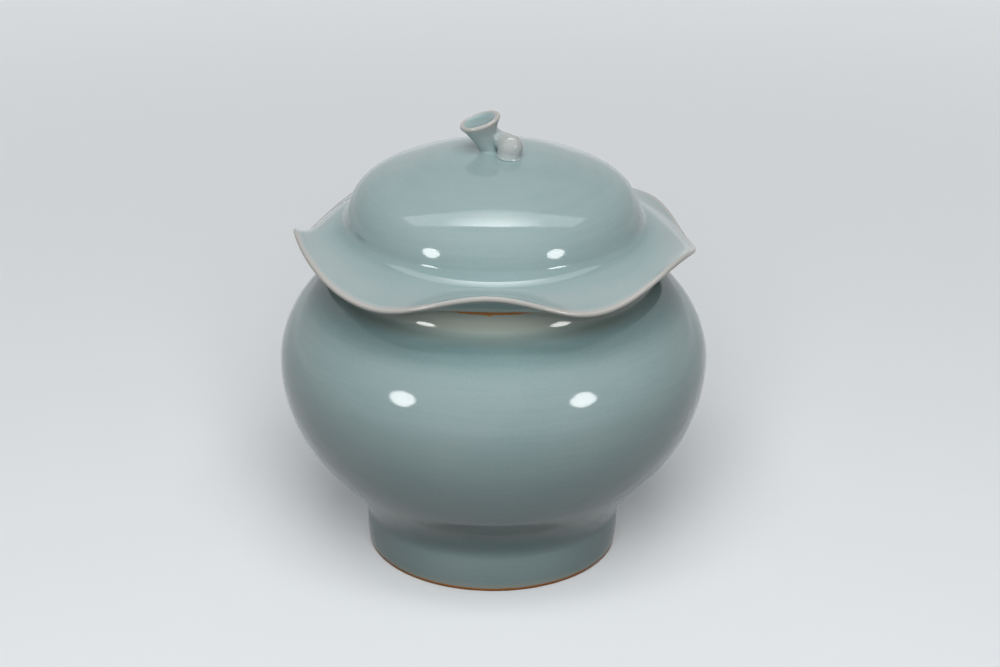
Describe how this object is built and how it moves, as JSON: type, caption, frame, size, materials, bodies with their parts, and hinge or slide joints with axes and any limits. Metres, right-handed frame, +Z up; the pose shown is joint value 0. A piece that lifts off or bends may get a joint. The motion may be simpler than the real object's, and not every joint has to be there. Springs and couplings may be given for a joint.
{
  "type": "lidded storage jar",
  "caption": "Round-bellied glazed stoneware storage jar with a wavy leaf-shaped lid that lifts off by a bent stalk knob.",
  "frame": {"origin": "centre of the foot ring at the table plane", "axes": "+Z up along the jar's axis; -Y is the front, the side the picture shows; +X to the viewer's right"},
  "size_m": [0.25, 0.25, 0.2693],
  "materials": {
    "jar_glaze": "glossy pale blue-green celadon glaze over stoneware",
    "base_glaze": "glossy pale blue-green celadon glaze over stoneware",
    "lid_glaze": "glossy pale blue-green celadon glaze, thin and whiter on the edges",
    "knob_glaze": "glossy pale blue-green celadon glaze, thin and whiter on the edges",
    "bare_clay": "unglazed fired clay, matt orange-brown"
  },
  "bodies": {
    "jar": {"lower_bowl": "jar_glaze", "upper_bowl": "jar_glaze", "base_disc": "base_glaze"},
    "lid": {"lid_leaf": "lid_glaze", "lid_ring": "bare_clay", "knob_stalk": "knob_glaze", "knob_curl": "knob_glaze"}
  },
  "joints": [
    {"name": "lid_lift", "type": "slide", "parent": "jar", "child": "lid", "axis": [0, 0, 1], "range_m": [0, 0.15]}
  ]
}
